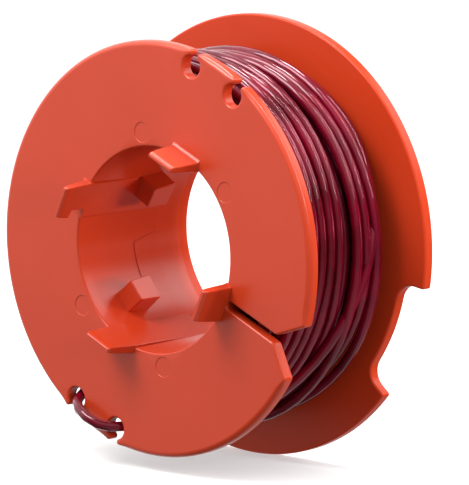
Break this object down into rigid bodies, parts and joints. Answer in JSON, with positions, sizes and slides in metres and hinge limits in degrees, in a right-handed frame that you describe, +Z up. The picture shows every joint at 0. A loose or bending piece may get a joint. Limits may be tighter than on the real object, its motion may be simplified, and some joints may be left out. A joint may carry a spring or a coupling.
{
  "type": "trimmer line spool",
  "caption": "Moulded spool with unequal flanges, notched rim, line slit and lugged open bore, wound with round cutting line whose end is parked over the rim.",
  "frame": {"origin": "on the spool axis, in the plane of the larger (rear) flange's outer face", "axes": "+Y along the spool axis, out of the rear flange; the smaller front flange faces -Y; +Z up as the spool stands in its picture, with the first pair of line notches near the top; +X right seen from the front"},
  "size_m": [0.0692, 0.0307, 0.0692],
  "materials": {
    "coral_plastic": "injection moulded, satin gloss",
    "red_nylon": "glossy translucent monofilament"
  },
  "bodies": {
    "root": {"front_flange": "coral_plastic", "hub_barrel": "coral_plastic", "rear_flange": "coral_plastic", "feed_lug_1": "coral_plastic", "feed_lug_2": "coral_plastic", "feed_lug_3": "coral_plastic", "feed_lug_4": "coral_plastic", "front_drive_lug_1": "coral_plastic", "front_drive_lug_2": "coral_plastic", "rear_drive_lug_1": "coral_plastic", "rear_drive_lug_2": "coral_plastic", "line_winding": "red_nylon", "line_parked_end": "red_nylon"}
  },
  "joints": []
}
